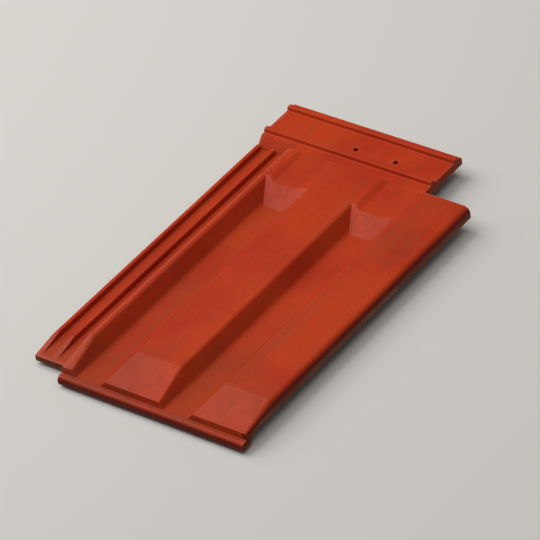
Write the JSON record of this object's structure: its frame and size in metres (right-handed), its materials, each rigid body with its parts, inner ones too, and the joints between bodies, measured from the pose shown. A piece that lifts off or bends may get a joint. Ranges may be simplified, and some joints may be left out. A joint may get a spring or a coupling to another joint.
{
  "type": "interlocking clay roof tile",
  "caption": "Pressed clay roof tile with water troughs between flat ribs, side and head locks, hanging nibs and nail holes.",
  "frame": {"origin": "on the floor under the middle of the tile's outline, as the tile lies face up", "axes": "+Y up the slope from the nose to the head, +X across towards the cover rib, +Z out of the weather face"},
  "size_m": [0.2594, 0.45, 0.026],
  "materials": {
    "engobed_clay": "fired clay with a smooth satin red engobe"
  },
  "bodies": {
    "root": {"roof_tile": "engobed_clay"}
  },
  "joints": []
}
